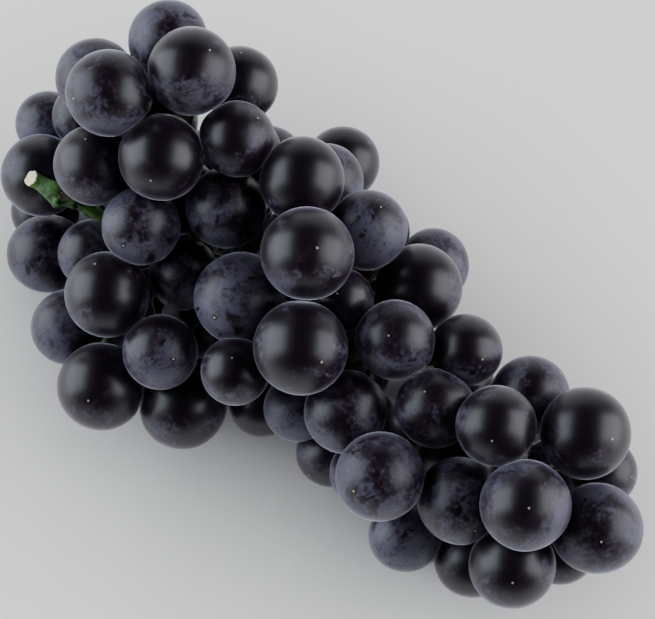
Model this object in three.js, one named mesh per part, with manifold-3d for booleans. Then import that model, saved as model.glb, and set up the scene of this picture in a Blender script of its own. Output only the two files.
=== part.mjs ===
import * as THREE from "three";
import { mergeVertices } from "three/addons/utils/BufferGeometryUtils.js";
import Module from "manifold-3d";

// A bunch of dark grapes lying on a table: a green stem with a stalk to every berry, and the berries in
// clusters. Millimetres, z up, table at z = 0.

// Berries
const hiddenRadius = 10.2; // a usual berry out of sight
const hiddenSpread = 0.07; // share that hidden berries differ by, up and down
const pressDepth = 1.2; // how far two pressed berries share, so that each has a small flat
const touchDepth = 0.85; // pressed at least this far, two berries hold together
const tableFlat = 0.25; // how far the table flattens a berry that it carries
const shownFaces = 3; // how often each edge of an octahedron is split for a berry that shows
const hiddenFaces = 2; // and for a hidden one
const facetSwell = 1.02; // spreads the facets evenly in and out of the true sphere

// Stem
const peduncleRadius = 1.9;
const rachisTipRadius = 1.2;
const nodeSwelling = 0.55; // the knuckle where the cut peduncle once had a tendril
const knuckleLength = 3;
const cutFlare = 0.3;
const stubLength = 4.2; // what is left of the tendril
const stubRadius = 1.1;
const stubFlare = 0.3;
const stubWay = [-0.3, -1, 0.5];
const stalkRadius = 0.72;
const branchGrowth = 0.42; // a branch with n stalks has the radius of a stalk times n to this power
const branchMostRadius = 1.5;
const receptacleRadius = 1.35;
const receptacleLength = 1.3;
const stemSides = 7;
const stalkSides = 3;
const branchSides = 4;
const stemStep = 3; // between the points that the rachis is placed by
const ringPoints = 2; // of those points to a ring of its surface
const seamGap = 0.3; // between pieces of different colour or cluster
const stemClearance = 2.4; // from the middle of the rachis to a berry
const firstSpoke = [0.3, 0.2, 1]; // about where a rod's first side faces
const blockSide = 6 * hiddenRadius; // of the blocks that cut berries flat

// The berries in front are placed as an eye sees them that looks down on the bunch
const sightRise = THREE.MathUtils.degToRad(70);
const sightDistance = 500;
const rachisHeight = 31;
const layerDepth = 8;

// Each row is a berry that shows, as [across, up, radius, layer]: millimetres from the middle of the view
// at the depth of the rachis, and layers toward the eye. A higher layer covers a lower one.
const seenClusters = {
  crown: [
    [-69.4, 46.1, 8.5, 0], [-60.6, 48.4, 8.2, 0.5], [-20.4, 39.9, 8.8, 0], [-57.9, 57.9, 10.1, 1],
    [-39.9, 67.4, 10, 1], [-21.9, 56.4, 9.6, 1], [-22.6, 42.6, 9.6, 2], [-54.6, 54.1, 10.9, 3],
    [-33.9, 59.6, 11.1, 3], [-41.5, 38.1, 10.9, 4],
  ],
  left: [
    [-70.6, 24.4, 8.5, 0], [-71.6, 33.6, 10.2, 1], [-70.1, 13.9, 9.9, 0], [-64.6, -4.4, 9.5, 0],
    [-58.9, 14.1, 8.5, 1], [-58.4, 36.1, 10, 2], [-55.1, 3.8, 10.8, 2], [-56.6, -19.2, 11, 2],
    [-46.6, 20.9, 9.9, 3],
  ],
  middle: [
    [-14.9, 36.9, 9, -1], [-36.1, -23.8, 11.1, 0], [-16.4, -23.4, 8.5, -1], [-35.9, 8.9, 9, 1],
    [-25.4, 25.4, 10.2, 1], [-41.8, -10.6, 9.4, 3], [-23.1, -15.4, 8.6, 1], [-7.5, -24.6, 8.5, 0],
    [-21.9, 2.9, 11.6, 3], [-5.1, 13.9, 11.9, 4], [-6.6, -9.6, 12, 4],
  ],
  right: [
    [3.9, 36.6, 9.2, 0], [-0.4, 31.9, 9.5, 1], [12.4, 19.4, 8.2, 0], [26.6, 11.1, 9, 0], [3.6, 2.4, 8.2, 2],
    [-6.4, 32.4, 10.8, 3], [22.8, 5.4, 10.9, 2], [34.6, -10.1, 9.2, 2], [10.1, 19.9, 10.1, 3],
    [16.9, -7.6, 10.2, 4],
  ],
  waist: [
    [0.9, -35.6, 8.8, -1], [26.9, -24.6, 10, 2.2], [9.1, -40.6, 8.5, 0], [19.5, -56.4, 9.2, 0],
    [4.6, -25.5, 10.4, 3], [13.1, -41.8, 11.4, 3.3],
  ],
  tip: [
    [36.6, -62.1, 10, 0.4], [58.1, -60.1, 8.8, 0], [68.9, -40.6, 8.5, 0], [50.6, -21.6, 10, 1],
    [67.4, -54.8, 11.5, 2], [46.1, -63.9, 10.9, 2], [33.1, -47.8, 10.9, 3.1], [42.1, -29.1, 10.2, 4],
    [64.4, -30.9, 11.5, 3], [49.5, -48.9, 11.6, 5],
  ],
};

// The stem from its cut end to the tip, as [across, up, height over the table, layer from which berries
// lie over it]
const stemRoute = [
  [-74.4, 32.9, 47, 2], [-66.4, 28.9, 46, 2], [-57.6, 24.1, 42, 2], [-46.9, 18.4, 35, 1],
  [-31.9, 14.9, 30, 1], [-14.4, 4.9, 31, 1], [3.1, -3.9, 32, 1], [16.9, -10.6, 31, 1],
  [28.1, -23.9, 30, 1], [40.6, -37.1, 28, 1], [50.6, -46.4, 27, 1],
];

// How the berries that show settle
const settleRounds = 600;
const partingRounds = 300; // more rounds, in which berries only part
const layerHold = 0.012; // share of the way back to its layer that a berry goes each round
const neighbourReach = 40; // berries farther apart leave each other alone
const partingShare = 0.3; // of the depth by which two berries press too much
const closingShare = 0.03; // of the depth between two that don't touch yet
const closingMost = 6;
const levelReach = 3; // berries this close side by side draw level
const levelShare = 0.02;
const levelMost = 8;
const stemPush = 0.6; // share of what a berry lacks to clear the rachis

// Where hidden berries go
const peepHole = { across: 18.1, up: -18.4, radius: 0.3 }; // a chink right through the bunch
const hiddenTries = 60000;
const gapTries = 60000; // then as many in the gaps that are left
const gapStray = 6; // how far beside a gap its berry may lie
const smallestRadius = 7.2;
const hiddenTop = 45;
const hiddenReach = { shoulder: 40, tip: 28 }; // farthest from the rachis, at either end of the bunch
const tableShare = 0.4; // share of the tries that lie on the table
const tableFavour = 9; // how many millimetres nearer the rachis a spot on the table counts
const hiddenField = 80; // half the width of the field that the tries fall in
const inwardReach = 10.5; // how far a gap between berries that show may be from them
const sideCount = 8; // directions in which berries must lie round such a gap
const rimSights = 24; // sight lines along a berry's rim
const snugSteps = 8;
const snugShare = 0.8; // of the gap that each step closes
const snugSlack = 0.05;

// How loose berries slide until they hold to the bunch
const slideReach = 9;
const slideSteps = 45;
const slideWays = 40; // directions of a slide
const goldenTurn = 2.4; // radians from each direction to the next
const enoughTouches = 4;
const pressMost = 1.4; // how deep a berry that slides to more touches may press its neighbours
const slidePresses = [1.4, 1.8, 2.4]; // and a loose one, tried in turn
const tableSlack = 1e-6;
const stemSlack = 0.3;

// How the stalks run
const firstBranching = 7; // the point of the rachis where its stalks begin
const passageCount = 3000;
const passageReach = 9; // longest step from one passage to the next
const passageRoom = 4; // stalks keep within this distance of a berry
const crowdingCost = 9; // how much longer a step counts for each millimetre that it cuts into a berry
const joinReach = 4.5; // from a berry's skin to the passage that its stalk takes

const wasm = await Module();
wasm.setup();

// A seeded draw
const seedFactor = 1664525;
const seedStep = 1013904223;
const seedRange = 2 ** 32;
let seed = 22;

function draw(low = 0, high = 1) {
  seed = (seed * seedFactor + seedStep) % seedRange;
  return low + ((high - low) * seed) / seedRange;
}

// The view
const towardEye = new THREE.Vector3(0, -Math.cos(sightRise), Math.sin(sightRise));
const viewUp = new THREE.Vector3(0, Math.sin(sightRise), Math.cos(sightRise));
const eye = new THREE.Vector3(0, 0, rachisHeight).addScaledVector(towardEye, sightDistance);

function sightLine(across, up) {
  return new THREE.Vector3(across, 0, 0)
    .addScaledVector(viewUp, up)
    .addScaledVector(towardEye, -sightDistance);
}

// How far along a sight line it comes down to a height
function reachOfHeight(line, height) {
  return (height - eye.z) / line.z;
}

function sightOf(point) {
  const away = point.clone().sub(eye);
  const reach = -away.dot(towardEye) / sightDistance;
  return { across: away.x / reach, up: away.dot(viewUp) / reach, reach };
}

// The rachis
function routePoint([across, up, height, coverLayer]) {
  const line = sightLine(across, up);
  const point = eye.clone().addScaledVector(line, reachOfHeight(line, height));
  point.coverLayer = coverLayer;
  return point;
}

const routePoints = stemRoute.map(routePoint);
const stemCurve = new THREE.CatmullRomCurve3(routePoints);
const stemLength = stemCurve.getLength();
const stemPoints = stemCurve.getSpacedPoints(Math.round(stemLength / stemStep));

function nearest(points, place) {
  let best = points[0];
  for (const point of points) {
    if (point.distanceToSquared(place) < best.distanceToSquared(place)) best = point;
  }
  return best;
}

// The berries that show slide along their own sight lines
function seenBerry([across, up, seenRadius, layer], cluster) {
  const line = sightLine(across, up);
  const aside = (spot) => Math.hypot(spot.across - across, spot.up - up);
  const overStem = stemPoints.map(sightOf).reduce((best, spot) => (aside(spot) > aside(best) ? best : spot));
  const firstReach = overStem.reach - (layer * layerDepth) / sightDistance;
  const berry = { cluster, across, up, seenRadius, layer, line, firstReach, reach: firstReach };
  berry.centre = new THREE.Vector3();
  setReach(berry, firstReach);
  return berry;
}

function setReach(berry, reach) {
  const onTable = reachOfHeight(berry.line, berry.seenRadius * berry.reach - tableFlat);
  berry.reach = Math.min(reach, onTable);
  berry.centre.copy(eye).addScaledVector(berry.line, berry.reach);
  berry.radius = berry.seenRadius * berry.reach;
}

// Moves the front berry of a pair toward the eye and the back one away by the same step, in millimetres
function spread(front, back, step) {
  setReach(front, front.reach - step / sightDistance);
  setReach(back, back.reach + step / sightDistance);
}

function settlePair(front, back, drawTogether) {
  const need = front.radius + back.radius - pressDepth;
  const apart = Math.hypot(front.across - back.across, front.up - back.up);
  const sideways = apart * (front.reach + back.reach) / 2;
  const depth = (back.reach - front.reach) * sightDistance;
  if (sideways < need) {
    const lack = Math.sqrt(need * need - sideways * sideways) - depth;
    if (lack > 0) spread(front, back, partingShare * lack);
    else if (drawTogether) spread(front, back, closingShare * Math.max(lack, -closingMost));
  } else if (drawTogether && sideways < need + levelReach) {
    spread(front, back, -levelShare * THREE.MathUtils.clamp(depth, -levelMost, levelMost));
  }
}

function clearStem(berry) {
  const point = nearest(stemPoints, berry.centre);
  const lack = berry.radius + stemClearance - point.distanceTo(berry.centre);
  if (lack <= 0) return;
  const lift = berry.layer >= nearest(routePoints, point).coverLayer ? 1 : -1;
  setReach(berry, berry.reach - (lift * stemPush * lack) / sightDistance);
}

function settle(berries) {
  for (let round = 0; round < settleRounds + partingRounds; round++) {
    const drawTogether = round < settleRounds;
    for (const berry of berries) {
      if (drawTogether) setReach(berry, berry.reach + (berry.firstReach - berry.reach) * layerHold);
      clearStem(berry);
    }
    for (let i = 0; i < berries.length; i++) {
      for (let j = 0; j < i; j++) {
        if (berries[i].centre.distanceTo(berries[j].centre) > neighbourReach) continue;
        settlePair(berries[i], berries[j], drawTogether);
      }
    }
  }
}

const berries = Object.entries(seenClusters)
  .flatMap(([cluster, rows]) => rows.map((row) => seenBerry(row, cluster)))
  .sort((a, b) => a.layer - b.layer);
settle(berries);
const shown = [...berries];

// Hidden berries fill the bunch down to the table, where the berries that show cover them
const sides = Array.from({ length: sideCount }, (_, n) => (n * 2 * Math.PI) / sideCount);

function shows(across, up, reach) {
  const over = shown.filter((b) => Math.hypot(b.across - across, b.up - up) < b.seenRadius);
  if (over.length) return over.some((b) => b.reach > reach);
  return !sides.every((angle) => shown.some((b) => {
    const along = (b.across - across) * Math.cos(angle) + (b.up - up) * Math.sin(angle);
    const step = THREE.MathUtils.clamp(along, 0, inwardReach);
    const sideways = across + step * Math.cos(angle) - b.across;
    const upward = up + step * Math.sin(angle) - b.up;
    return Math.hypot(sideways, upward) < b.seenRadius;
  }));
}

function covered(centre, radius) {
  const { across, up, reach } = sightOf(centre);
  const seenRadius = radius / reach;
  const peepAside = Math.hypot(across - peepHole.across, up - peepHole.up);
  if (peepAside < seenRadius + peepHole.radius) return false;
  for (let n = 0; n < rimSights; n++) {
    const angle = (n * 2 * Math.PI) / rimSights;
    const rimAcross = across + seenRadius * Math.cos(angle);
    if (shows(rimAcross, up + seenRadius * Math.sin(angle), reach)) return false;
  }
  return true;
}

// Brings a spot up against the berry nearest to it, along the table if it lies there
function snugged(spot) {
  const gapTo = (b) => b.centre.distanceTo(spot.centre) - b.radius - spot.radius + pressDepth;
  const neighbour = berries.reduce((best, b) => (gapTo(b) < gapTo(best) ? b : best));
  const gap = gapTo(neighbour);
  if (gap < 0 || gap > hiddenRadius) return false;
  const way = neighbour.centre.clone().sub(spot.centre);
  if (spot.onTable) way.z = 0;
  way.normalize();
  for (let step = 0; step < snugSteps; step++) {
    spot.centre.addScaledVector(way, snugShare * gapTo(neighbour));
  }
  return berries.every((b) => gapTo(b) > -snugSlack);
}

function bunchSpot() {
  const radius = hiddenRadius * draw(1 - hiddenSpread, 1 + hiddenSpread);
  const onTable = draw() < tableShare;
  const height = onTable ? radius - tableFlat : radius + hiddenTop * draw();
  const x = draw(-hiddenField, hiddenField);
  const y = draw(-hiddenField, hiddenField);
  return { centre: new THREE.Vector3(x, y, height), radius, onTable };
}

// A spot on a sight line that still runs right through the bunch
function gapSpot() {
  const across = draw(-hiddenField, hiddenField);
  const up = draw(-hiddenField, hiddenField);
  const sights = berries.map((b) => ({ ...sightOf(b.centre), radius: b.radius }));
  const blocked = sights.some((s) => Math.hypot(s.across - across, s.up - up) < s.radius / s.reach);
  if (blocked || shows(across, up, 0)) return null;
  const radius = draw(smallestRadius, hiddenRadius);
  const line = sightLine(across + draw(-gapStray, gapStray), up + draw(-gapStray, gapStray));
  const reach = reachOfHeight(line, draw(radius, radius + hiddenTop));
  return { centre: eye.clone().addScaledVector(line, reach), radius, onTable: false };
}

function stemDistance(spot) {
  return nearest(stemPoints, spot.centre).distanceTo(spot.centre);
}

function fill(nextSpot, tries) {
  const spots = [];
  for (let n = 0; n < tries; n++) {
    const spot = nextSpot();
    if (!spot) continue;
    const share = THREE.MathUtils.clamp(spot.centre.x / hiddenField + 0.5, 0, 1);
    const most = THREE.MathUtils.lerp(hiddenReach.shoulder, hiddenReach.tip, share);
    const far = stemDistance(spot);
    if (far < spot.radius + stemClearance || far > most) continue;
    spots.push({ ...spot, score: far - (spot.onTable ? tableFavour : 0) });
  }
  spots.sort((a, b) => a.score - b.score);
  for (const spot of spots) {
    if (!snugged(spot) || stemDistance(spot) < spot.radius + stemClearance) continue;
    if (spot.centre.z < spot.radius - tableFlat) continue;
    if (covered(spot.centre, spot.radius)) berries.push(spot);
  }
}
fill(bunchSpot, hiddenTries);

// Last, berries that hold to nothing slide a little until every berry holds to the bunch
function overlap(a, b) {
  return a.radius + b.radius - a.centre.distanceTo(b.centre);
}

function heldTogether(first) {
  const held = new Set([first]);
  for (const berry of held) {
    for (const other of berries) {
      if (overlap(berry, other) >= touchDepth) held.add(other);
    }
  }
  return held;
}

function largestHold() {
  const holds = berries.map(heldTogether);
  return holds.reduce((best, hold) => (hold.size > best.size ? hold : best));
}

function slides(berry) {
  const home = berry.centre.clone();
  const spots = [];
  for (let step = 0; step < slideSteps; step++) {
    const length = (slideReach * (step + 1)) / slideSteps;
    const ways = berry.line ? [berry.line, berry.line.clone().negate()] : ballOfWays(berry.onTable);
    for (const way of ways) {
      const centre = home.clone().addScaledVector(way.clone().normalize(), length);
      const reach = berry.line ? centre.distanceTo(eye) / berry.line.length() : 1;
      spots.push({ centre, radius: berry.line ? berry.seenRadius * reach : berry.radius, reach });
    }
  }
  return spots;
}

function ballOfWays(flat) {
  const ways = [];
  for (let n = 0; n < slideWays; n++) {
    const rise = flat ? 0 : 1 - (2 * n + 1) / slideWays;
    const turn = n * goldenTurn;
    const wide = Math.sqrt(1 - rise * rise);
    ways.push(new THREE.Vector3(wide * Math.cos(turn), wide * Math.sin(turn), rise));
  }
  return ways;
}

function neighbours(berry) {
  const isNear = (other) => other.centre.distanceTo(berry.centre) < neighbourReach;
  return berries.filter((other) => other !== berry && isNear(other));
}

function fits(spot, others, mostPress) {
  return spot.centre.z >= spot.radius - tableFlat - tableSlack &&
    stemDistance(spot) > spot.radius + stemClearance - stemSlack &&
    others.every((other) => overlap(spot, other) < mostPress);
}

// Slides berries that touch few others to where they touch more
function tighten() {
  for (const berry of berries) {
    const others = neighbours(berry);
    const touches = (spot) => others.filter((other) => overlap(spot, other) >= touchDepth).length;
    let most = touches(berry);
    for (const spot of slides(berry)) {
      if (most >= enoughTouches || touches(spot) <= most || !fits(spot, others, pressMost)) continue;
      if (!berry.line && !covered(spot.centre, spot.radius)) continue;
      Object.assign(berry, spot);
      most = touches(berry);
    }
  }
}

// Slides berries that hold to nothing to where they hold to the rest
function gather(mostPress) {
  let moved = true;
  while (moved) {
    moved = false;
    const held = largestHold();
    for (const berry of berries) {
      if (held.has(berry)) continue;
      const others = neighbours(berry);
      const holds = (spot) => others.some((other) => held.has(other) && overlap(spot, other) > touchDepth);
      const hides = (spot) => berry.line || covered(spot.centre, spot.radius);
      const spot = slides(berry)
        .filter((place) => holds(place) && fits(place, others, mostPress))
        .find(hides);
      if (!spot) continue;
      Object.assign(berry, spot);
      moved = true;
      break;
    }
  }
}
tighten();
tighten();
fill(gapSpot, gapTries);
for (const mostPress of slidePresses) gather(mostPress);

// Clusters grow from one berry each through berries that hold to each other
function growClusters() {
  const names = Object.keys(seenClusters);
  const hearts = names.map((name) => {
    const members = shown.filter((b) => b.cluster === name);
    const sum = members.reduce((total, b) => total.add(b.centre), new THREE.Vector3());
    const fromMiddle = (b) => b.centre.distanceTo(sum.clone().divideScalar(members.length));
    return members.reduce((best, b) => (fromMiddle(b) < fromMiddle(best) ? b : best));
  });
  for (const berry of berries) berry.far = Infinity;
  hearts.forEach((heart, n) => Object.assign(heart, { far: 0, cluster: names[n], heart }));
  const waiting = new Set(berries);
  while (waiting.size) {
    const berry = [...waiting].reduce((best, b) => (b.far < best.far ? b : best));
    waiting.delete(berry);
    for (const other of waiting) {
      const far = berry.heart.centre.distanceTo(other.centre);
      if (overlap(berry, other) < touchDepth || far >= other.far) continue;
      Object.assign(other, { far, cluster: berry.cluster, heart: berry.heart });
    }
  }
}
growClusters();

// Passages are open spots between the berries, and a stalk is the easiest way through them to the rachis
function roomAt(place) {
  return berries.reduce((least, b) => Math.min(least, b.centre.distanceTo(place) - b.radius), Infinity);
}

function roomAlong(from, to) {
  const line = new THREE.Line3(from, to);
  const foot = new THREE.Vector3();
  return berries.reduce((least, b) => {
    line.closestPointToPoint(b.centre, true, foot);
    return Math.min(least, foot.distanceTo(b.centre) - b.radius);
  }, Infinity);
}

function findPassages() {
  const box = new THREE.Box3().setFromPoints(berries.map((b) => b.centre));
  const passages = stemPoints.slice(firstBranching, -1).map((place) => ({ place, cost: 0, next: null }));
  while (passages.length < passageCount) {
    const x = draw(box.min.x, box.max.x);
    const y = draw(box.min.y, box.max.y);
    const place = new THREE.Vector3(x, y, draw(0, box.max.z));
    const room = roomAt(place);
    if (room < stalkRadius + seamGap || room > passageRoom) continue;
    const { across, up, reach } = sightOf(place);
    if (shows(across, up, reach)) continue;
    passages.push({ place, cost: Infinity, next: null });
  }
  const waiting = new Set(passages);
  while (waiting.size) {
    const passage = [...waiting].reduce((best, p) => (p.cost < best.cost ? p : best));
    waiting.delete(passage);
    for (const other of waiting) {
      const length = passage.place.distanceTo(other.place);
      if (length > passageReach || passage.cost + length >= other.cost) continue;
      const cost = passage.cost + stalkCost(passage.place, other.place);
      if (cost < other.cost) Object.assign(other, { cost, next: passage });
    }
  }
  return passages;
}

function stalkCost(from, to) {
  const crowding = Math.max(0, stalkRadius + seamGap - roomAlong(from, to));
  return from.distanceTo(to) * (1 + crowdingCost * crowding);
}

// Where a berry's stalk ends, just off its skin
function stalkEnd(berry, toward) {
  const way = toward.clone().sub(berry.centre).normalize();
  return berry.centre.clone().addScaledVector(way, berry.radius * facetSwell + seamGap);
}

function joinStalk(berry, passages) {
  const near = passages.filter((p) => p.place.distanceTo(berry.centre) < berry.radius + joinReach);
  const costOf = (p) => p.cost + p.place.distanceTo(berry.centre);
  berry.join = near.reduce((best, p) => (costOf(p) < costOf(best) ? p : best));
  for (let passage = berry.join; passage; passage = passage.next) passage.load = (passage.load ?? 0) + 1;
}

function branchRadius(load) {
  return Math.min(branchMostRadius, stalkRadius * load ** branchGrowth);
}

// The ways from each berry down to the first fork, and from each fork to the next
function traceStalks() {
  const passages = findPassages();
  for (const berry of berries) joinStalk(berry, passages);
  const used = passages.filter((p) => p.load);
  for (const passage of used) passage.feeders = used.filter((p) => p.next === passage).length;
  for (const berry of berries) berry.join.feeders += 1;
  const starts = used.filter((p) => p.next && p.feeders > 1);
  const forks = starts.map((fork) => traceWay([fork.place], fork.next, branchRadius(fork.load)));
  const stalks = berries.map((berry) => {
    const end = stalkEnd(berry, berry.join.place);
    const share = Math.min(1, receptacleLength / end.distanceTo(berry.join.place));
    const neck = end.clone().lerp(berry.join.place, share);
    return { ...traceWay([neck], berry.join, stalkRadius), end };
  });
  return [...forks, ...stalks];
}

function traceWay(places, from, radius) {
  let passage = from;
  while (passage.next && passage.feeders === 1) {
    places.push(passage.place);
    passage = passage.next;
  }
  places.push(passage.place);
  return { places: straightened(places), radius };
}

// Leaves out every turn that the stalk can do without
function straightened(places) {
  const kept = [places[0]];
  let from = 0;
  while (from < places.length - 1) {
    let to = places.length - 1;
    const plain = (n) => roomAlong(places[from], places[n]) > stalkRadius + seamGap;
    while (to > from + 1 && !plain(to)) to--;
    kept.push(places[to]);
    from = to;
  }
  return kept;
}

// Solids
function solidOf(geometry) {
  geometry.deleteAttribute("normal");
  geometry.deleteAttribute("uv");
  const merged = mergeVertices(geometry);
  const vertProperties = merged.attributes.position.array;
  const mesh = new wasm.Mesh({ numProp: 3, vertProperties, triVerts: merged.index.array });
  return new wasm.Manifold(mesh);
}

function joined(solids) {
  while (solids.length > 1) solids.push(solids.shift().add(solids.shift()));
  return solids[0];
}

// A round rod through its places, with its own radius at each
function rodGeometry(places, radii, sides) {
  const corners = [];
  const faces = [];
  const across = new THREE.Vector3(...firstSpoke);
  places.forEach((place, n) => {
    const before = places[Math.max(0, n - 1)];
    const after = places[Math.min(places.length - 1, n + 1)];
    const along = after.clone().sub(before).normalize();
    across.addScaledVector(along, -across.dot(along)).normalize();
    for (let side = 0; side < sides; side++) {
      const spoke = across.clone().applyAxisAngle(along, (side * 2 * Math.PI) / sides);
      corners.push(...place.clone().addScaledVector(spoke, radii[n]).toArray());
    }
  });
  for (let ring = 0; ring < places.length - 1; ring++) {
    for (let side = 0; side < sides; side++) {
      const a = ring * sides + side;
      const b = ring * sides + ((side + 1) % sides);
      faces.push(a, b, b + sides, a, b + sides, a + sides);
    }
  }
  const last = (places.length - 1) * sides;
  for (let side = 1; side < sides - 1; side++) {
    faces.push(0, side + 1, side, last, last + side, last + side + 1);
  }
  const geometry = new THREE.BufferGeometry();
  geometry.setAttribute("position", new THREE.Float32BufferAttribute(corners, 3));
  return geometry.setIndex(faces);
}

function rachisRod(extra) {
  const knuckle = routePoints[1];
  const places = stemPoints.filter((point, n) => n < firstBranching || n % ringPoints === 0);
  const radii = places.map((point, n) => {
    const thinning = THREE.MathUtils.lerp(peduncleRadius, rachisTipRadius, n / (places.length - 1));
    const swelling = nodeSwelling * Math.exp(-((point.distanceTo(knuckle) / knuckleLength) ** 2));
    return thinning + swelling + (n === 0 ? cutFlare : 0) + extra;
  });
  return rodGeometry(places, radii, stemSides);
}

function stub(extra) {
  const root = routePoints[1];
  const tip = root.clone().add(new THREE.Vector3(...stubWay).setLength(stubLength));
  return rodGeometry([root, tip], [stubRadius + stubFlare + extra, stubRadius + extra], branchSides);
}

function stemSolid(stalks, extra) {
  const rods = stalks.map(({ places, radius, end }) => {
    const radii = places.map(() => radius + extra);
    if (!end) return rodGeometry(places, radii, branchSides);
    return rodGeometry([end, ...places], [receptacleRadius + extra, ...radii], stalkSides);
  });
  const pieces = [rachisRod(extra), stub(extra), ...rods];
  return joined(pieces.map(solidOf));
}

// A block that takes off whatever lies beyond a point in a direction
function blockBeyond(point, direction) {
  const block = new THREE.BoxGeometry(blockSide, blockSide, blockSide);
  block.applyQuaternion(new THREE.Quaternion().setFromUnitVectors(new THREE.Vector3(0, 0, 1), direction));
  const middle = point.clone().addScaledVector(direction, blockSide / 2);
  return solidOf(block.translate(middle.x, middle.y, middle.z));
}

function berrySolid(berry) {
  const radius = berry.radius * facetSwell;
  const resting = berry.centre.z < radius;
  const ball = new THREE.OctahedronGeometry(radius, berry.line ? shownFaces : hiddenFaces);
  const tilt = resting ? [0, 0] : [draw(0, 2 * Math.PI), draw(0, 2 * Math.PI)];
  const turn = new THREE.Euler(...tilt, draw(0, 2 * Math.PI));
  ball.applyQuaternion(new THREE.Quaternion().setFromEuler(turn));
  let solid = solidOf(ball.translate(...berry.centre.toArray()));
  const down = new THREE.Vector3(0, 0, -1);
  if (resting) solid = solid.subtract(blockBeyond(berry.centre.clone().setZ(0), down));
  for (const other of berries) {
    const apart = berry.centre.distanceTo(other.centre);
    const meet = (berry.radius + other.radius) * facetSwell + seamGap;
    if (other.cluster === berry.cluster || apart > meet) continue;
    const direction = other.centre.clone().sub(berry.centre).normalize();
    const along = (apart ** 2 + berry.radius ** 2 - other.radius ** 2) / (2 * apart) - seamGap / 2;
    solid = solid.subtract(blockBeyond(berry.centre.clone().addScaledVector(direction, along), direction));
  }
  return solid;
}

function meshOf(name, solid, material) {
  const { vertProperties, triVerts } = solid.getMesh();
  const geometry = new THREE.BufferGeometry();
  geometry.setAttribute("position", new THREE.BufferAttribute(vertProperties, 3));
  geometry.setIndex(new THREE.BufferAttribute(triVerts, 1));
  geometry.computeVertexNormals();
  const mesh = new THREE.Mesh(geometry, material);
  mesh.name = name;
  return mesh;
}

const skin = new THREE.MeshStandardMaterial({ color: 0x2a2233, roughness: 0.42, metalness: 0 });
const green = new THREE.MeshStandardMaterial({ color: 0x6b7a3a, roughness: 0.75, metalness: 0 });

const stalks = traceStalks();
const stem = stemSolid(stalks, 0);
const groove = stemSolid(stalks, seamGap);
const group = new THREE.Group();
group.add(meshOf("stem", stem, green));
for (const name of Object.keys(seenClusters)) {
  const members = berries.filter((b) => b.cluster === name);
  group.add(meshOf(`berries_${name}`, joined(members.map(berrySolid)).subtract(groove), skin));
}

// The bunch stands with the middle of its box over the origin
const box = new THREE.Box3().setFromObject(group);
const middle = box.getCenter(new THREE.Vector3());
for (const mesh of group.children) mesh.position.set(-middle.x, -middle.y, 0);

export default group;
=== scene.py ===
import math

import bmesh
import bpy
import numpy as np
from mathutils import Matrix, Vector, noise


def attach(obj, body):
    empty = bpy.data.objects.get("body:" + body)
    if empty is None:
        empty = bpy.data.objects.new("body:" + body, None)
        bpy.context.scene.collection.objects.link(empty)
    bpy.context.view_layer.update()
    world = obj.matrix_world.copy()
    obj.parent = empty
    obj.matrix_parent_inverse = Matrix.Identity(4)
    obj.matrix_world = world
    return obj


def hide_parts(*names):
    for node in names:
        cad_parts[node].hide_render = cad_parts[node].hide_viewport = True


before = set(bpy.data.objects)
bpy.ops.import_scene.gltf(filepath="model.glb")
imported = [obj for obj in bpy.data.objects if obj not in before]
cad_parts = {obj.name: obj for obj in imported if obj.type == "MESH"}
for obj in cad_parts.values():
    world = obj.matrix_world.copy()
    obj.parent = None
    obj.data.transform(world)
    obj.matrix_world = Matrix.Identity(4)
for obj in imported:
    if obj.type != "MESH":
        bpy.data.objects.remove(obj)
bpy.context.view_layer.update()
mm = 0.001

# The view: the picture's size in pixels, and how the camera looks down on the bunch
picture = {
    "width": 655,
    "height": 619,
    "focalLength": 2000,  # in pixels
    "rise": math.radians(70),
    "distance": 500 * mm,
    "target": (5.14 * mm, 4.35 * mm, 31 * mm),
    "sensor": 36,
    "nearest": 10 * mm,
}
viewRight = Vector((1, 0, 0))
viewUp = Vector((0, math.sin(picture["rise"]), math.cos(picture["rise"])))
viewBack = Vector((0, -math.cos(picture["rise"]), math.sin(picture["rise"])))
eye = Vector(picture["target"]) + viewBack * picture["distance"]


def fromView(right, up, back):
    return viewRight * right + viewUp * up + viewBack * back


def sightThrough(pixel):
    right = (pixel[0] - picture["width"] / 2) / picture["focalLength"]
    up = (picture["height"] / 2 - pixel[1]) / picture["focalLength"]
    return fromView(right, up, -1).normalized()


def makeCamera():
    lens = bpy.data.cameras.new("camera")
    lens.sensor_width = picture["sensor"]
    lens.lens = picture["focalLength"] / picture["width"] * picture["sensor"]
    lens.clip_start = picture["nearest"]
    camera = bpy.data.objects.new("camera", lens)
    camera.location = eye
    camera.rotation_euler = (math.pi / 2 - picture["rise"], 0, 0)
    bpy.context.scene.collection.objects.link(camera)
    bpy.context.scene.camera = camera


makeCamera()
print("camera ready")

# Finding the berries: every packed cluster is made of faceted balls fused together, and where the corners
# round a point all lie on one ball, they give its middle and radius
clusters = ["crown", "left", "middle", "right", "waist", "tip"]
finding = {
    "weld": 0.001 * mm,
    "miss": 0.004 * mm,  # how far a corner may lie off its ball
    "smallest": 6 * mm,
    "largest": 13 * mm,
    "fewestCorners": 5,
    "fewestVotes": 3,
    "unknowns": 4,  # a middle and a radius
    "cutoff": 1e-7,
    "sameBall": 0.1 * mm,
    "facetSwell": 1.02,  # the facets' corners lie outside the true berry by this
}


def weldedNode(name):
    mesh = bmesh.new()
    mesh.from_mesh(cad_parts[name].data)
    bmesh.ops.remove_doubles(mesh, verts=mesh.verts, dist=finding["weld"])
    return mesh


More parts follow.
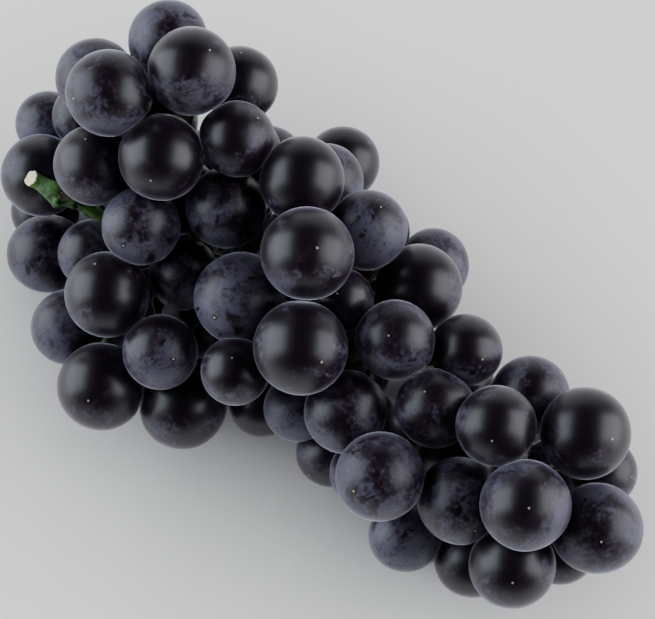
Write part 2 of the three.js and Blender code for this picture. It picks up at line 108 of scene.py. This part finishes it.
def ballThrough(points):
    middle = points.mean(0)
    local = points - middle
    rows = np.c_[2 * local, np.full(len(local), mm)]
    found, _, rank, _ = np.linalg.lstsq(rows, (local**2).sum(1), rcond=finding["cutoff"])
    radius = math.sqrt(max(0, found[3] * mm + found[:3] @ found[:3]))
    miss = abs(np.linalg.norm(local - found[:3], axis=1) - radius).max()
    return found[:3] + middle, radius, miss if rank == finding["unknowns"] else math.inf


def ballsOf(name):
    mesh = weldedNode(name)
    votes = []
    for corner in mesh.verts:
        ring = [corner] + [edge.other_vert(corner) for edge in corner.link_edges]
        if len(ring) < finding["fewestCorners"]:
            continue
        centre, radius, miss = ballThrough(np.array([v.co for v in ring], float))
        rightSize = finding["smallest"] < radius < finding["largest"]
        if miss > finding["miss"] or not rightSize:
            continue
        for vote in votes:
            if np.linalg.norm(vote["centre"] - centre) < finding["sameBall"]:
                vote["count"] += 1
                break
        else:
            votes.append({"centre": centre, "radius": radius, "count": 1})
    mesh.free()
    return [vote for vote in votes if vote["count"] >= finding["fewestVotes"]]


def findBerries():
    berries = []
    for cluster in clusters:
        balls = ballsOf("berries_" + cluster)
        for ball in sorted(balls, key=lambda ball: tuple(ball["centre"])):
            berries.append({
                "cluster": cluster,
                "centre": Vector(ball["centre"]),
                "radius": ball["radius"] / finding["facetSwell"],
            })
    return berries


berries = findBerries()
print("berries found:", len(berries), [sum(b["cluster"] == name for b in berries) for name in clusters])


# Where each berry's stalk meets it: the end face of the stalk that looks straight at the berry's middle
stalkEnds = {"least": 0.15 * mm, "most": 0.5 * mm, "square": 0.98}


def findStalks():
    mesh = weldedNode("stem")
    faces = [(face.calc_center_median(), face.normal.copy(), face.calc_area()) for face in mesh.faces]
    corners = [corner.co.copy() for corner in mesh.verts]
    mesh.free()
    for berry in berries:
        outside = berry["radius"] * finding["facetSwell"]
        ends = []
        for place, normal, area in faces:
            away = place - berry["centre"]
            off = away.length - outside
            facesIt = normal.dot(away) < -stalkEnds["square"] * away.length
            if stalkEnds["least"] < off < stalkEnds["most"] and facesIt:
                ends.append((area, tuple(away.normalized())))
        if ends:
            berry["stalkWay"] = Vector(max(ends)[1])
        else:
            nearest = min(corners, key=lambda corner: (corner - berry["centre"]).length)
            berry["stalkWay"] = (nearest - berry["centre"]).normalized()
            print("no stalk end at", [round(value / mm, 1) for value in berry["centre"]])


findStalks()

# Where the flower's scar shows in the view, in pixels; on other berries it's across from the stalk
scars = {
    "seenAt": [
        (210, 50), (151, 180), (124, 245), (95, 264), (173, 359), (88, 401), (244, 237), (317, 248),
        (215, 317), (232, 358), (354, 491), (475, 530),
    ],
    "stray": 0.25,
}


def berryThrough(pixel):
    way = sightThrough(pixel)
    best = None
    for berry in berries:
        away = berry["centre"] - eye
        along = away.dot(way)
        inside = berry["radius"] ** 2 - (away - way * along).length_squared
        if inside > 0 and (best is None or along - math.sqrt(inside) < best[0]):
            best = (along - math.sqrt(inside), berry)
    if best is None:
        return None, None
    return best[1], (eye + way * best[0] - best[1]["centre"]).normalized()


def placeScars():
    for number, berry in enumerate(berries):
        pick = np.random.default_rng(number)
        berry["random"] = pick
        stray = Vector(pick.normal(size=3)) * scars["stray"]
        berry["scarWay"] = (stray - berry["stalkWay"]).normalized()
    for pixel in scars["seenAt"]:
        berry, way = berryThrough(pixel)
        if berry:
            berry["scarWay"] = way


placeScars()

# The berry's form: round, a little longer one way, pressed flat where it leans on others or on the table
form = {
    "detail": 5,
    "stretch": (0.985, 1.035),
    "lump": 0.004,
    "lumps": 5,
    "lumpRate": 2,
    "dimpleDepth": 0.55 * mm,
    "dimpleWidth": 0.16,
    "nub": 0.12 * mm,
    "nubWidth": 0.05,
    "gap": 0.06 * mm,  # between berries that press on each other
    "crispness": 34,  # how sharply a pressed flat turns into the round
}


def ballWays():
    mesh = bmesh.new()
    bmesh.ops.create_icosphere(mesh, subdivisions=form["detail"], radius=1)
    ways = np.array([corner.co for corner in mesh.verts], float)
    faces = np.array([[corner.index for corner in face.verts] for face in mesh.faces])
    mesh.free()
    return ways, faces


def flatsOf(berry):
    flats = [(Vector((0, 0, -1)), berry["centre"].z)]
    for other in berries:
        if other is berry:
            continue
        between = other["centre"] - berry["centre"]
        apart = between.length
        if apart < berry["radius"] + other["radius"] + form["gap"]:
            middle = (apart**2 + berry["radius"] ** 2 - other["radius"] ** 2) / (2 * apart)
            flats.append((between / apart, middle - form["gap"] / 2))
    return flats


def roundPart(berry, ways):
    pick = berry["random"]
    longWay = np.array(berry["scarWay"])
    stretch = pick.uniform(*form["stretch"])
    along = ways @ longWay
    reach = berry["radius"] / np.sqrt((along / stretch) ** 2 + (1 - along**2) * stretch)
    for _ in range(form["lumps"]):
        wave = pick.normal(size=3)
        reach *= 1 + form["lump"] * np.sin(ways @ wave * form["lumpRate"] + pick.uniform(0, math.tau))
    fromStalk = np.arccos(np.clip(ways @ np.array(berry["stalkWay"]), -1, 1))
    fromScar = np.arccos(np.clip(along, -1, 1))
    reach -= form["dimpleDepth"] * np.exp(-((fromStalk / form["dimpleWidth"]) ** 2))
    reach += form["nub"] * np.exp(-((fromScar / form["nubWidth"]) ** 2))
    return reach


def berryPoints(berry, ways):
    reach = roundPart(berry, ways)
    power = reach ** -form["crispness"]
    for normal, height in flatsOf(berry):
        toward = np.clip(ways @ np.array(normal), 0, None)
        power += (toward / height) ** form["crispness"]
    return power ** (-1 / form["crispness"])


def buildCluster(cluster, skin):
    ways, faces = ballWays()
    members = [berry for berry in berries if berry["cluster"] == cluster]
    places, onBerry, own = [], [], []
    for berry in members:
        reach = berryPoints(berry, ways)
        places.append(ways * reach[:, None] + np.array(berry["centre"]))
        turn = Vector((0, 0, 1)).rotation_difference(berry["scarWay"]).to_matrix()
        onBerry.append(ways @ np.array(turn))
        own.append(np.full(len(ways), berry["random"].uniform()))
    joined = [tuple(face + number * len(ways)) for number in range(len(members)) for face in faces]
    mesh = bpy.data.meshes.new("grapes_" + cluster)
    mesh.from_pydata(np.concatenate(places).tolist(), [], joined)
    mesh.shade_smooth()
    onBerryRows = mesh.attributes.new("onBerry", "FLOAT_VECTOR", "POINT")
    onBerryRows.data.foreach_set("vector", np.concatenate(onBerry).ravel())
    mesh.attributes.new("ownShade", "FLOAT", "POINT").data.foreach_set("value", np.concatenate(own))
    mesh.materials.append(skin)
    piece = bpy.data.objects.new("grapes_" + cluster, mesh)
    bpy.context.scene.collection.objects.link(piece)
    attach(piece, "root")
    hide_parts("berries_" + cluster)


# The stem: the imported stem's rods, a cushion where each stalk holds its berry, and the swellings of the cut
# end and the knuckle, melted into one skin and roughened
stemForm = {
    "voxel": 0.4 * mm,
    "smoothing": 3,
    "sides": 14,
    "sheathSides": 28,
    "knobDetail": 3,
    "cushion": [(-0.8, 0.9), (-0.3, 1.75), (0.25, 1.6), (1.0, 1.0), (2.0, 0.75)],  # mm off the skin, radius
    "cutEnd": {
        "pixel": (25, 175),
        "height": 47 * mm,
        "lean": 0.85,
        "depth": 1.4 * mm,
        "reach": 5.6 * mm,
        "skin": 0.12 * mm,
    },
    "knuckle": {"pixel": (62, 196), "height": 46 * mm},
    "sheath": [  # mm from the cut end along the peduncle, radius
        (0, 1.8), (1.5, 1.7), (4, 1.7), (6.2, 2.2), (8, 2.75),
        (9.6, 2.9), (11.2, 2.5), (12.8, 1.9), (15, 1.5),
    ],
    "knuckleFoot": {"pixel": (56, 204), "height": 45.5 * mm, "radius": 1.2 * mm},
    "tendrilScar": {"pixel": (65, 194), "height": 48.5 * mm, "radius": 1.6 * mm},
    "ridge": 0.2 * mm,
    "ridgeWidth": 0.8 * mm,
    "ridgeLength": 6 * mm,
    "wart": 0.12 * mm,
    "wartWidth": 0.6 * mm,
    "scarDepth": 0.35 * mm,
    "scarLevel": 0.6,  # how deep the scar lies between its own warts
    "freeLength": 18 * mm,  # of the peduncle, out of the berries' shade; the stalks past it are darkened with painted shade
}


def pointOver(pixel, height):
    way = sightThrough(pixel)
    return eye + way * ((height - eye.z) / way.z)


def addLathe(mesh, foot, way, rows, sides):
    turn = Vector((0, 0, 1)).rotation_difference(way).to_matrix()
    rings = []
    for along, radius in rows:
        ring = []
        for side in range(sides):
            angle = math.tau * side / sides
            spoke = turn @ Vector((math.cos(angle) * radius, math.sin(angle) * radius, along))
            ring.append(mesh.verts.new(foot + spoke))
        rings.append(ring)
    for lower, upper in zip(rings, rings[1:]):
        for side in range(sides):
            after = (side + 1) % sides
            mesh.faces.new((lower[side], lower[after], upper[after], upper[side]))
    mesh.faces.new(rings[0][::-1])
    mesh.faces.new(rings[-1])


def addKnob(mesh, spot):
    centre = pointOver(spot["pixel"], spot["height"])
    place = Matrix.Translation(centre)
    bmesh.ops.create_icosphere(mesh, subdivisions=stemForm["knobDetail"], radius=spot["radius"], matrix=place)


def stemShape():
    mesh = weldedNode("stem")
    for berry in berries:
        foot = berry["centre"] + berry["stalkWay"] * berry["radius"]
        rows = [(along * mm, radius * mm) for along, radius in stemForm["cushion"]]
        addLathe(mesh, foot, berry["stalkWay"], rows, stemForm["sides"])
    cut = pointOver(stemForm["cutEnd"]["pixel"], stemForm["cutEnd"]["height"])
    knuckle = pointOver(stemForm["knuckle"]["pixel"], stemForm["knuckle"]["height"])
    inward = (knuckle - cut).normalized()
    rows = [(along * mm, radius * mm) for along, radius in stemForm["sheath"]]
    addLathe(mesh, cut, inward, rows, stemForm["sheathSides"])
    addKnob(mesh, stemForm["knuckleFoot"])
    data = bpy.data.meshes.new("rough stem")
    mesh.to_mesh(data)
    mesh.free()
    return data, cut, inward


def meltedMesh(data, name):
    piece = bpy.data.objects.new("rough stem", data)
    bpy.context.scene.collection.objects.link(piece)
    remesh = piece.modifiers.new("melt", "REMESH")
    remesh.mode = "VOXEL"
    remesh.voxel_size = stemForm["voxel"]
    smooth = piece.modifiers.new("smooth", "SMOOTH")
    smooth.iterations = stemForm["smoothing"]
    seen = piece.evaluated_get(bpy.context.evaluated_depsgraph_get())
    melted = bpy.data.meshes.new_from_object(seen)
    melted.name = name
    bpy.data.objects.remove(piece)
    bpy.data.meshes.remove(data)
    return melted


def noisesAt(places):
    return np.array([noise.noise(place) for place in places.tolist()])


# The shears cut on a slant, so the cut face leans toward whoever looks down on the bunch
def sliceEnd(places, cut, axis):
    outward = np.array(viewBack) * stemForm["cutEnd"]["lean"] - axis
    outward /= np.linalg.norm(outward)
    beyond = (places - cut - axis * stemForm["cutEnd"]["depth"]) @ outward
    near = np.linalg.norm(places - cut, axis=1) < stemForm["cutEnd"]["reach"]
    taken = np.where(near, np.clip(beyond, 0, None), 0)
    places -= taken[:, None] * outward
    return np.where(near & (beyond > -stemForm["cutEnd"]["skin"]), 1.0, 0.0)


def buildStem(bark):
    data, cut, inward = stemShape()
    mesh = meltedMesh(data, "stem_and_stalks")
    scar = pointOver(stemForm["tendrilScar"]["pixel"], stemForm["tendrilScar"]["height"])
    count = len(mesh.vertices)
    places, normals = np.empty(count * 3), np.empty(count * 3)
    mesh.vertices.foreach_get("co", places)
    mesh.vertex_normals.foreach_get("vector", normals)
    places, normals = places.reshape(-1, 3), normals.reshape(-1, 3)
    axis = np.array(inward)
    along = (places - np.array(cut)) @ axis
    aside = places - np.array(cut) - along[:, None] * axis
    grain = noisesAt(aside / stemForm["ridgeWidth"] + (along / stemForm["ridgeLength"])[:, None] * axis)
    warts = noisesAt(places / stemForm["wartWidth"])
    fromScar = np.linalg.norm(places - np.array(scar), axis=1)
    dry = np.exp(-((fromScar / stemForm["tendrilScar"]["radius"]) ** 2))
    push = stemForm["ridge"] * grain + stemForm["wart"] * warts
    push -= stemForm["scarDepth"] * dry * (stemForm["scarLevel"] + warts)
    places += normals * push[:, None]
    cutEnd = sliceEnd(places, np.array(cut), axis)
    mesh.vertices.foreach_set("co", places.ravel())
    mesh.update()
    mesh.attributes.new("cutEnd", "FLOAT", "POINT").data.foreach_set("value", cutEnd)
    mesh.attributes.new("dry", "FLOAT", "POINT").data.foreach_set("value", dry)
    # Painted shade: stalks deep among the berries get darker the farther they run from the cut
    paintedInnerShade = np.clip((along - stemForm["freeLength"]) / stemForm["freeLength"], 0, 1)
    mesh.attributes.new("paintedInnerShade", "FLOAT", "POINT").data.foreach_set("value", paintedInnerShade)
    mesh.shade_smooth()
    mesh.materials.clear()
    mesh.materials.append(bark)
    piece = bpy.data.objects.new("stem_and_stalks", mesh)
    bpy.context.scene.collection.objects.link(piece)
    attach(piece, "root")
    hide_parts("stem")
    return piece


# Materials
class Finish:
    def __init__(self, name):
        self.material = bpy.data.materials.new(name)
        self.material.use_nodes = True
        self.tree = self.material.node_tree
        self.shader = self.tree.nodes["Principled BSDF"]

    def add(self, kind, inputs=(), **settings):
        made = self.tree.nodes.new("ShaderNode" + kind)
        for key, value in settings.items():
            setattr(made, key, value)
        for key, value in dict(inputs).items():
            if isinstance(value, bpy.types.NodeSocket):
                self.tree.links.new(value, made.inputs[key])
            else:
                made.inputs[key].default_value = value
        return made

    def sum(self, operation, first, second=0.0, third=0.0, clamp=False):
        inputs = {0: first, 1: second, 2: third}
        return self.add("Math", inputs, operation=operation, use_clamp=clamp).outputs[0]

    def cloud(self, place, size, detail=3.0, roughness=0.55, distortion=0.0):
        inputs = {"Vector": place, "Scale": 1 / size, "Detail": detail}
        inputs.update({"Roughness": roughness, "Distortion": distortion})
        return self.add("TexNoise", inputs).outputs["Fac"]

    def between(self, value, low, high, fromZero=0.0, toOne=1.0):
        inputs = {"Value": value, "From Min": low, "From Max": high, "To Min": fromZero, "To Max": toOne}
        return self.add("MapRange", inputs, interpolation_type="SMOOTHSTEP").outputs["Result"]

    def blend(self, share, first, second):
        made = self.add("Mix", {0: share}, data_type="RGBA")
        for socket, value in ((made.inputs[6], first), (made.inputs[7], second)):
            if isinstance(value, bpy.types.NodeSocket):
                self.tree.links.new(value, socket)
            else:
                socket.default_value = (*value, 1)
        return made.outputs[2]

    def attribute(self, name, output="Fac"):
        return self.add("Attribute", attribute_name=name).outputs[output]

    def objectPlace(self):
        return self.add("TexCoord").outputs["Object"]

    def link(self, value, socket):
        self.tree.links.new(value, self.shader.inputs[socket])

    def bump(self, height, strength, distance):
        made = self.add("Bump", {"Height": height, "Strength": strength, "Distance": distance})
        self.link(made.outputs["Normal"], "Normal")


skinLook = {
    "rubbed": (0.0042, 0.0007, 0.0034),
    "thin": (0.0125, 0.0028, 0.0125),
    "bloom": (0.066, 0.06, 0.094),
    "scar": (0.36, 0.29, 0.22),
    # Where bloom starts and is full, in patches plus a share of the mottle and of the berry's own draw
    "cover": (0.6, 1.02),
    "patches": {"size": 9 * mm, "detail": 4, "roughness": 0.6, "distortion": 0.7},
    "mottle": {"size": 1.1 * mm, "detail": 3, "roughness": 0.65},
    "mottleShare": 0.45,
    "ownShare": 0.24,
    "paintedLightBelow": 0.12,  # how much more pale bloom is painted where a skin faces down, and less where it faces up: painted rim light on the undersides
    # How far up a skin faces where the painted shade starts and ends, bloom taken off the tops so they read
    # dark, and how far that strays with the patches
    "paintedTopShade": (0.62, 0.97),
    "paintedTopShadeStray": 0.5,
    "patchMiddle": 0.5,
    "paintedTopShadeShare": (0.35, 0.75, 0.9, 0.1),  # a berry's own draw from, to, and the share of bloom taken off its top there as painted shade
    # Long marks where fingers and leaves rubbed the bloom off
    "rub": {"size": 3.2 * mm, "detail": 3, "roughness": 0.5, "distortion": 0.4},
    "rubTurn": (0.5, 0.9, 0.3),
    "rubStretch": (1, 1, 0.28),
    "rubEdge": (0.6, 0.68),
    "rubShare": 0.9,
    "pore": 1.2 * mm,  # from one dark pore to the next
    "poreEdge": (0.1, 0.2),
    "scarEdge": (0.033, 0.0198),  # as shares of the berry's radius
    "ringEdge": (0.0858, 0.0396),  # the bare ring round the scar
    "thinFull": 0.45,  # cover where the thin layer is whole
    "bloomStart": 0.25,
    "dullFull": 0.8,
    "glossy": 0.35,
    "dull": 0.5,
    "ior": 1.45,
    "shineTint": (0.92, 0.95, 1, 1),
    "sheen": 0.75,
    "sheenRoughness": 0.25,
    "sheenTint": (0.84, 0.82, 1, 1),
    "grain": {"size": 0.35 * mm, "detail": 2, "roughness": 0.5},
    "grainShare": 0.3,
    "bumpStrength": 0.18,
    "bumpHeight": 0.06 * mm,
}


def bloomCover(skin, place, patches, mottle):
    own = skin.attribute("ownShade")
    amount = skin.sum("MULTIPLY_ADD", mottle, skinLook["mottleShare"], patches)
    amount = skin.sum("MULTIPLY_ADD", own, skinLook["ownShare"], amount)
    # Painted rim light: pale blue-grey bloom grows where the skin faces down and thins where it faces up
    facing = skin.add("SeparateXYZ", {0: skin.add("NewGeometry").outputs["Normal"]}).outputs["Z"]
    amount = skin.sum("MULTIPLY_ADD", facing, -skinLook["paintedLightBelow"], amount)
    cover = skin.between(amount, *skinLook["cover"])
    # Painted shade: on a random share of berries, bloom is taken off where the skin faces up, so their tops
    # read dark
    stray = skin.sum("SUBTRACT", skinLook["patchMiddle"], patches)
    facing = skin.sum("MULTIPLY_ADD", stray, skinLook["paintedTopShadeStray"], facing)
    paintedTopShadeShare = skin.between(own, *skinLook["paintedTopShadeShare"])
    paintedTopShade = skin.sum("MULTIPLY", skin.between(facing, *skinLook["paintedTopShade"]), paintedTopShadeShare)
    cover = skin.sum("MULTIPLY", cover, skin.sum("SUBTRACT", 1, paintedTopShade))
    turned = {"Vector": place, "Rotation": skinLook["rubTurn"], "Scale": skinLook["rubStretch"]}
    strokes = skin.add("Mapping", turned).outputs[0]
    rubs = skin.between(skin.cloud(strokes, **skinLook["rub"]), *skinLook["rubEdge"])
    pores = skin.add("TexVoronoi", {"Vector": place, "Scale": 1 / skinLook["pore"]}).outputs["Distance"]
    whole = skin.between(pores, *skinLook["poreEdge"])
    left = skin.sum("MULTIPLY_ADD", rubs, -skinLook["rubShare"], whole)
    return skin.sum("MULTIPLY", cover, left, clamp=True)


def grapeSkin():
    skin = Finish("grape skin with bloom")
    place = skin.objectPlace()
    patches = skin.cloud(place, **skinLook["patches"])
    mottle = skin.cloud(place, **skinLook["mottle"])
    grain = skin.cloud(place, **skinLook["grain"])
    cover = bloomCover(skin, place, patches, mottle)
    axes = skin.add("SeparateXYZ", {0: skin.attribute("onBerry", "Vector")}).outputs
    across = skin.sum("ADD", skin.sum("POWER", axes[0], 2), skin.sum("POWER", axes[1], 2))
    aside = skin.sum("SQRT", across)
    front = skin.sum("GREATER_THAN", axes[2], 0)
    scar = skin.sum("MULTIPLY", front, skin.between(aside, *skinLook["scarEdge"]))
    ring = skin.sum("MULTIPLY", front, skin.between(aside, *skinLook["ringEdge"]))
    cover = skin.sum("MULTIPLY", cover, skin.sum("SUBTRACT", 1, ring), clamp=True)
    thin = skin.between(cover, 0, skinLook["thinFull"])
    colour = skin.blend(thin, skinLook["rubbed"], skinLook["thin"])
    colour = skin.blend(skin.between(cover, skinLook["bloomStart"], 1), colour, skinLook["bloom"])
    colour = skin.blend(scar, colour, skinLook["scar"])
    skin.link(colour, "Base Color")
    roughness = skin.between(cover, 0, skinLook["dullFull"], skinLook["glossy"], skinLook["dull"])
    skin.link(roughness, "Roughness")
    sockets = skin.shader.inputs
    sockets["Sheen Weight"].default_value = skinLook["sheen"]
    sockets["Sheen Roughness"].default_value = skinLook["sheenRoughness"]
    sockets["Sheen Tint"].default_value = skinLook["sheenTint"]
    sockets["Specular Tint"].default_value = skinLook["shineTint"]
    sockets["IOR"].default_value = skinLook["ior"]
    height = skin.sum("MULTIPLY_ADD", grain, skinLook["grainShare"], mottle)
    skin.bump(height, skinLook["bumpStrength"], skinLook["bumpHeight"])
    return skin.material


barkLook = {
    "green": (0.042, 0.14, 0.016),
    "shade": (0.008, 0.03, 0.006),
    "brown": (0.07, 0.036, 0.02),
    # painted shade colour for the stalks inside the bunch
    "paintedInnerShade": (0.02, 0.022, 0.008),
    "cut": (0.92, 0.84, 0.52),
    "pith": (0.5, 0.36, 0.12),
    "husk": (0.34, 0.24, 0.18),
    "blotches": {"size": 2.4 * mm, "detail": 4, "roughness": 0.65, "distortion": 0.5},
    "fibres": {"size": 0.4 * mm, "detail": 3, "roughness": 0.6},
    "greenEdge": (0.35, 0.62),  # blotches from shade to green
    "wartEdge": (0.6, 0.72),
    "wartShare": 0.55,
    "paintedInnerShadeShare": 0.8,
    "dryEdge": (0.45, 0.85),
    "dryFray": 0.5,
    "huskEdge": (0.52, 0.6),
    "pithEdge": (0.52, 0.66),
    "cutEdge": (0.3, 0.6),
    "cutFray": 0.2,
    "roughness": (0.3, 0.7, 0.5, 0.8),  # fibres from, to, and the roughness there
    "bumpStrength": 0.5,
    "bumpHeight": 0.15 * mm,
}


def greenBark():
    bark = Finish("green stem")
    place = bark.objectPlace()
    blotches = bark.cloud(place, **barkLook["blotches"])
    fibres = bark.cloud(place, **barkLook["fibres"])
    green = bark.between(blotches, *barkLook["greenEdge"])
    colour = bark.blend(green, barkLook["shade"], barkLook["green"])
    warts = bark.sum("MULTIPLY", bark.between(fibres, *barkLook["wartEdge"]), barkLook["wartShare"])
    colour = bark.blend(warts, colour, barkLook["brown"])
    # Painted shade on the stalks inside the bunch
    paintedInnerShade = bark.sum("MULTIPLY", bark.attribute("paintedInnerShade"), barkLook["paintedInnerShadeShare"])
    colour = bark.blend(paintedInnerShade, colour, barkLook["paintedInnerShade"])
    frayed = bark.sum("MULTIPLY_ADD", fibres, barkLook["dryFray"], bark.attribute("dry"))
    dry = bark.between(frayed, *barkLook["dryEdge"])
    colour = bark.blend(dry, colour, barkLook["brown"])
    husk = bark.sum("MULTIPLY", dry, bark.between(fibres, *barkLook["huskEdge"]))
    colour = bark.blend(husk, colour, barkLook["husk"])
    frayed = bark.sum("MULTIPLY_ADD", fibres, barkLook["cutFray"], bark.attribute("cutEnd"))
    face = bark.blend(bark.between(fibres, *barkLook["pithEdge"]), barkLook["cut"], barkLook["pith"])
    colour = bark.blend(bark.between(frayed, *barkLook["cutEdge"]), colour, face)
    bark.link(colour, "Base Color")
    bark.link(bark.between(fibres, *barkLook["roughness"]), "Roughness")
    bark.bump(fibres, barkLook["bumpStrength"], barkLook["bumpHeight"])
    return bark.material


skin = grapeSkin()
for cluster in clusters:
    buildCluster(cluster, skin)
print("grapes pressed and placed")
stem = buildStem(greenBark())
stem.data.calc_loop_triangles()
print("stem melted and roughened:", len(stem.data.loop_triangles), "triangles")

# Floor and light
floorLook = {
    "size": 12,  # metres
    "below": 0.05 * mm,
    "colour": (0.4, 0.4, 0.4),
    "clouds": {"size": 300 * mm, "detail": 2},
    "cloudShare": 1.02,
    "roughness": 0.6,
    "glow": 0.92,  # the floor glows evenly like a lit table; ambient occlusion cuts the glow into a painted shadow where the bunch covers it
    "paintedShadowReach": 70 * mm,
    "paintedShadowPower": 2,
    "paintedShadowSamples": 8,
}
lamps = {
    "left": {"way": (-0.9, 0.14, 0.38), "size": (0.95, 0.85), "power": 13.5, "tint": (0.86, 0.94, 1)},
    "right": {"way": (0.87, -0.03, 0.44), "size": (0.95, 0.85), "power": 13.5, "tint": (0.95, 0.97, 1)},
    "back": {"way": (0.05, 0.9, 0.3), "size": (1.3, 0.5), "power": 2, "tint": (0.9, 0.95, 1)},
    "away": 0.9,
}
sky = {
    "stops": [(0.48, 0.95), (0.55, 0.5), (0.64, 0.04), (0.85, 0.006)],  # share of the way up, light
    "tint": (0.93, 0.97, 1),
    "straightDown": -1,
}


def paleFloor():
    finish = Finish("pale floor")
    clouds = finish.cloud(finish.objectPlace(), **floorLook["clouds"])
    lighter = tuple(value * floorLook["cloudShare"] for value in floorLook["colour"])
    finish.link(finish.blend(clouds, floorLook["colour"], lighter), "Base Color")
    finish.shader.inputs["Roughness"].default_value = floorLook["roughness"]
    finish.shader.inputs["Emission Color"].default_value = (1, 1, 1, 1)
    # Painted shadow: ambient occlusion darkens the floor's glow near the bunch
    reach = {"Distance": floorLook["paintedShadowReach"]}
    opening = finish.add("AmbientOcclusion", reach, samples=floorLook["paintedShadowSamples"]).outputs["AO"]
    opening = finish.sum("POWER", opening, floorLook["paintedShadowPower"])
    finish.link(finish.sum("MULTIPLY", opening, floorLook["glow"]), "Emission Strength")
    place = (0, 0, -floorLook["below"])
    bpy.ops.mesh.primitive_plane_add(size=floorLook["size"], location=place)
    floor = bpy.context.object
    floor.name = "floor"
    floor.data.materials.append(finish.material)


def softbox(name):
    lamp = lamps[name]
    way = Vector(lamp["way"]).normalized()
    light = bpy.data.lights.new(name + " softbox", "AREA")
    light.shape = "RECTANGLE"
    light.size, light.size_y = lamp["size"]
    light.energy = lamp["power"]
    light.color = lamp["tint"]
    holder = bpy.data.objects.new(name + " softbox", light)
    holder.location = Vector(picture["target"]) + way * lamps["away"]
    holder.rotation_euler = way.to_track_quat("Z", "Y").to_euler()
    bpy.context.scene.collection.objects.link(holder)


def skyLight():
    world = bpy.data.worlds.new("studio")
    bpy.context.scene.world = world
    world.use_nodes = True
    tree = world.node_tree
    way = tree.nodes.new("ShaderNodeTexCoord")
    axes = tree.nodes.new("ShaderNodeSeparateXYZ")
    height = tree.nodes.new("ShaderNodeMapRange")
    height.inputs["From Min"].default_value = sky["straightDown"]
    ramp = tree.nodes.new("ShaderNodeValToRGB")
    tree.links.new(way.outputs["Generated"], axes.inputs[0])
    tree.links.new(axes.outputs["Z"], height.inputs["Value"])
    tree.links.new(height.outputs["Result"], ramp.inputs[0])
    tree.links.new(ramp.outputs["Color"], tree.nodes["Background"].inputs["Color"])
    stops = ramp.color_ramp.elements
    for number, (place, _) in enumerate(sky["stops"]):
        stop = stops[number] if number < len(stops) else stops.new(place)
        stop.position = place
    for stop, (_, light) in zip(stops, sky["stops"]):
        stop.color = (*(light * share for share in sky["tint"]), 1)


paleFloor()
softbox("left")
softbox("right")
softbox("back")
skyLight()
print("floor and lights ready")
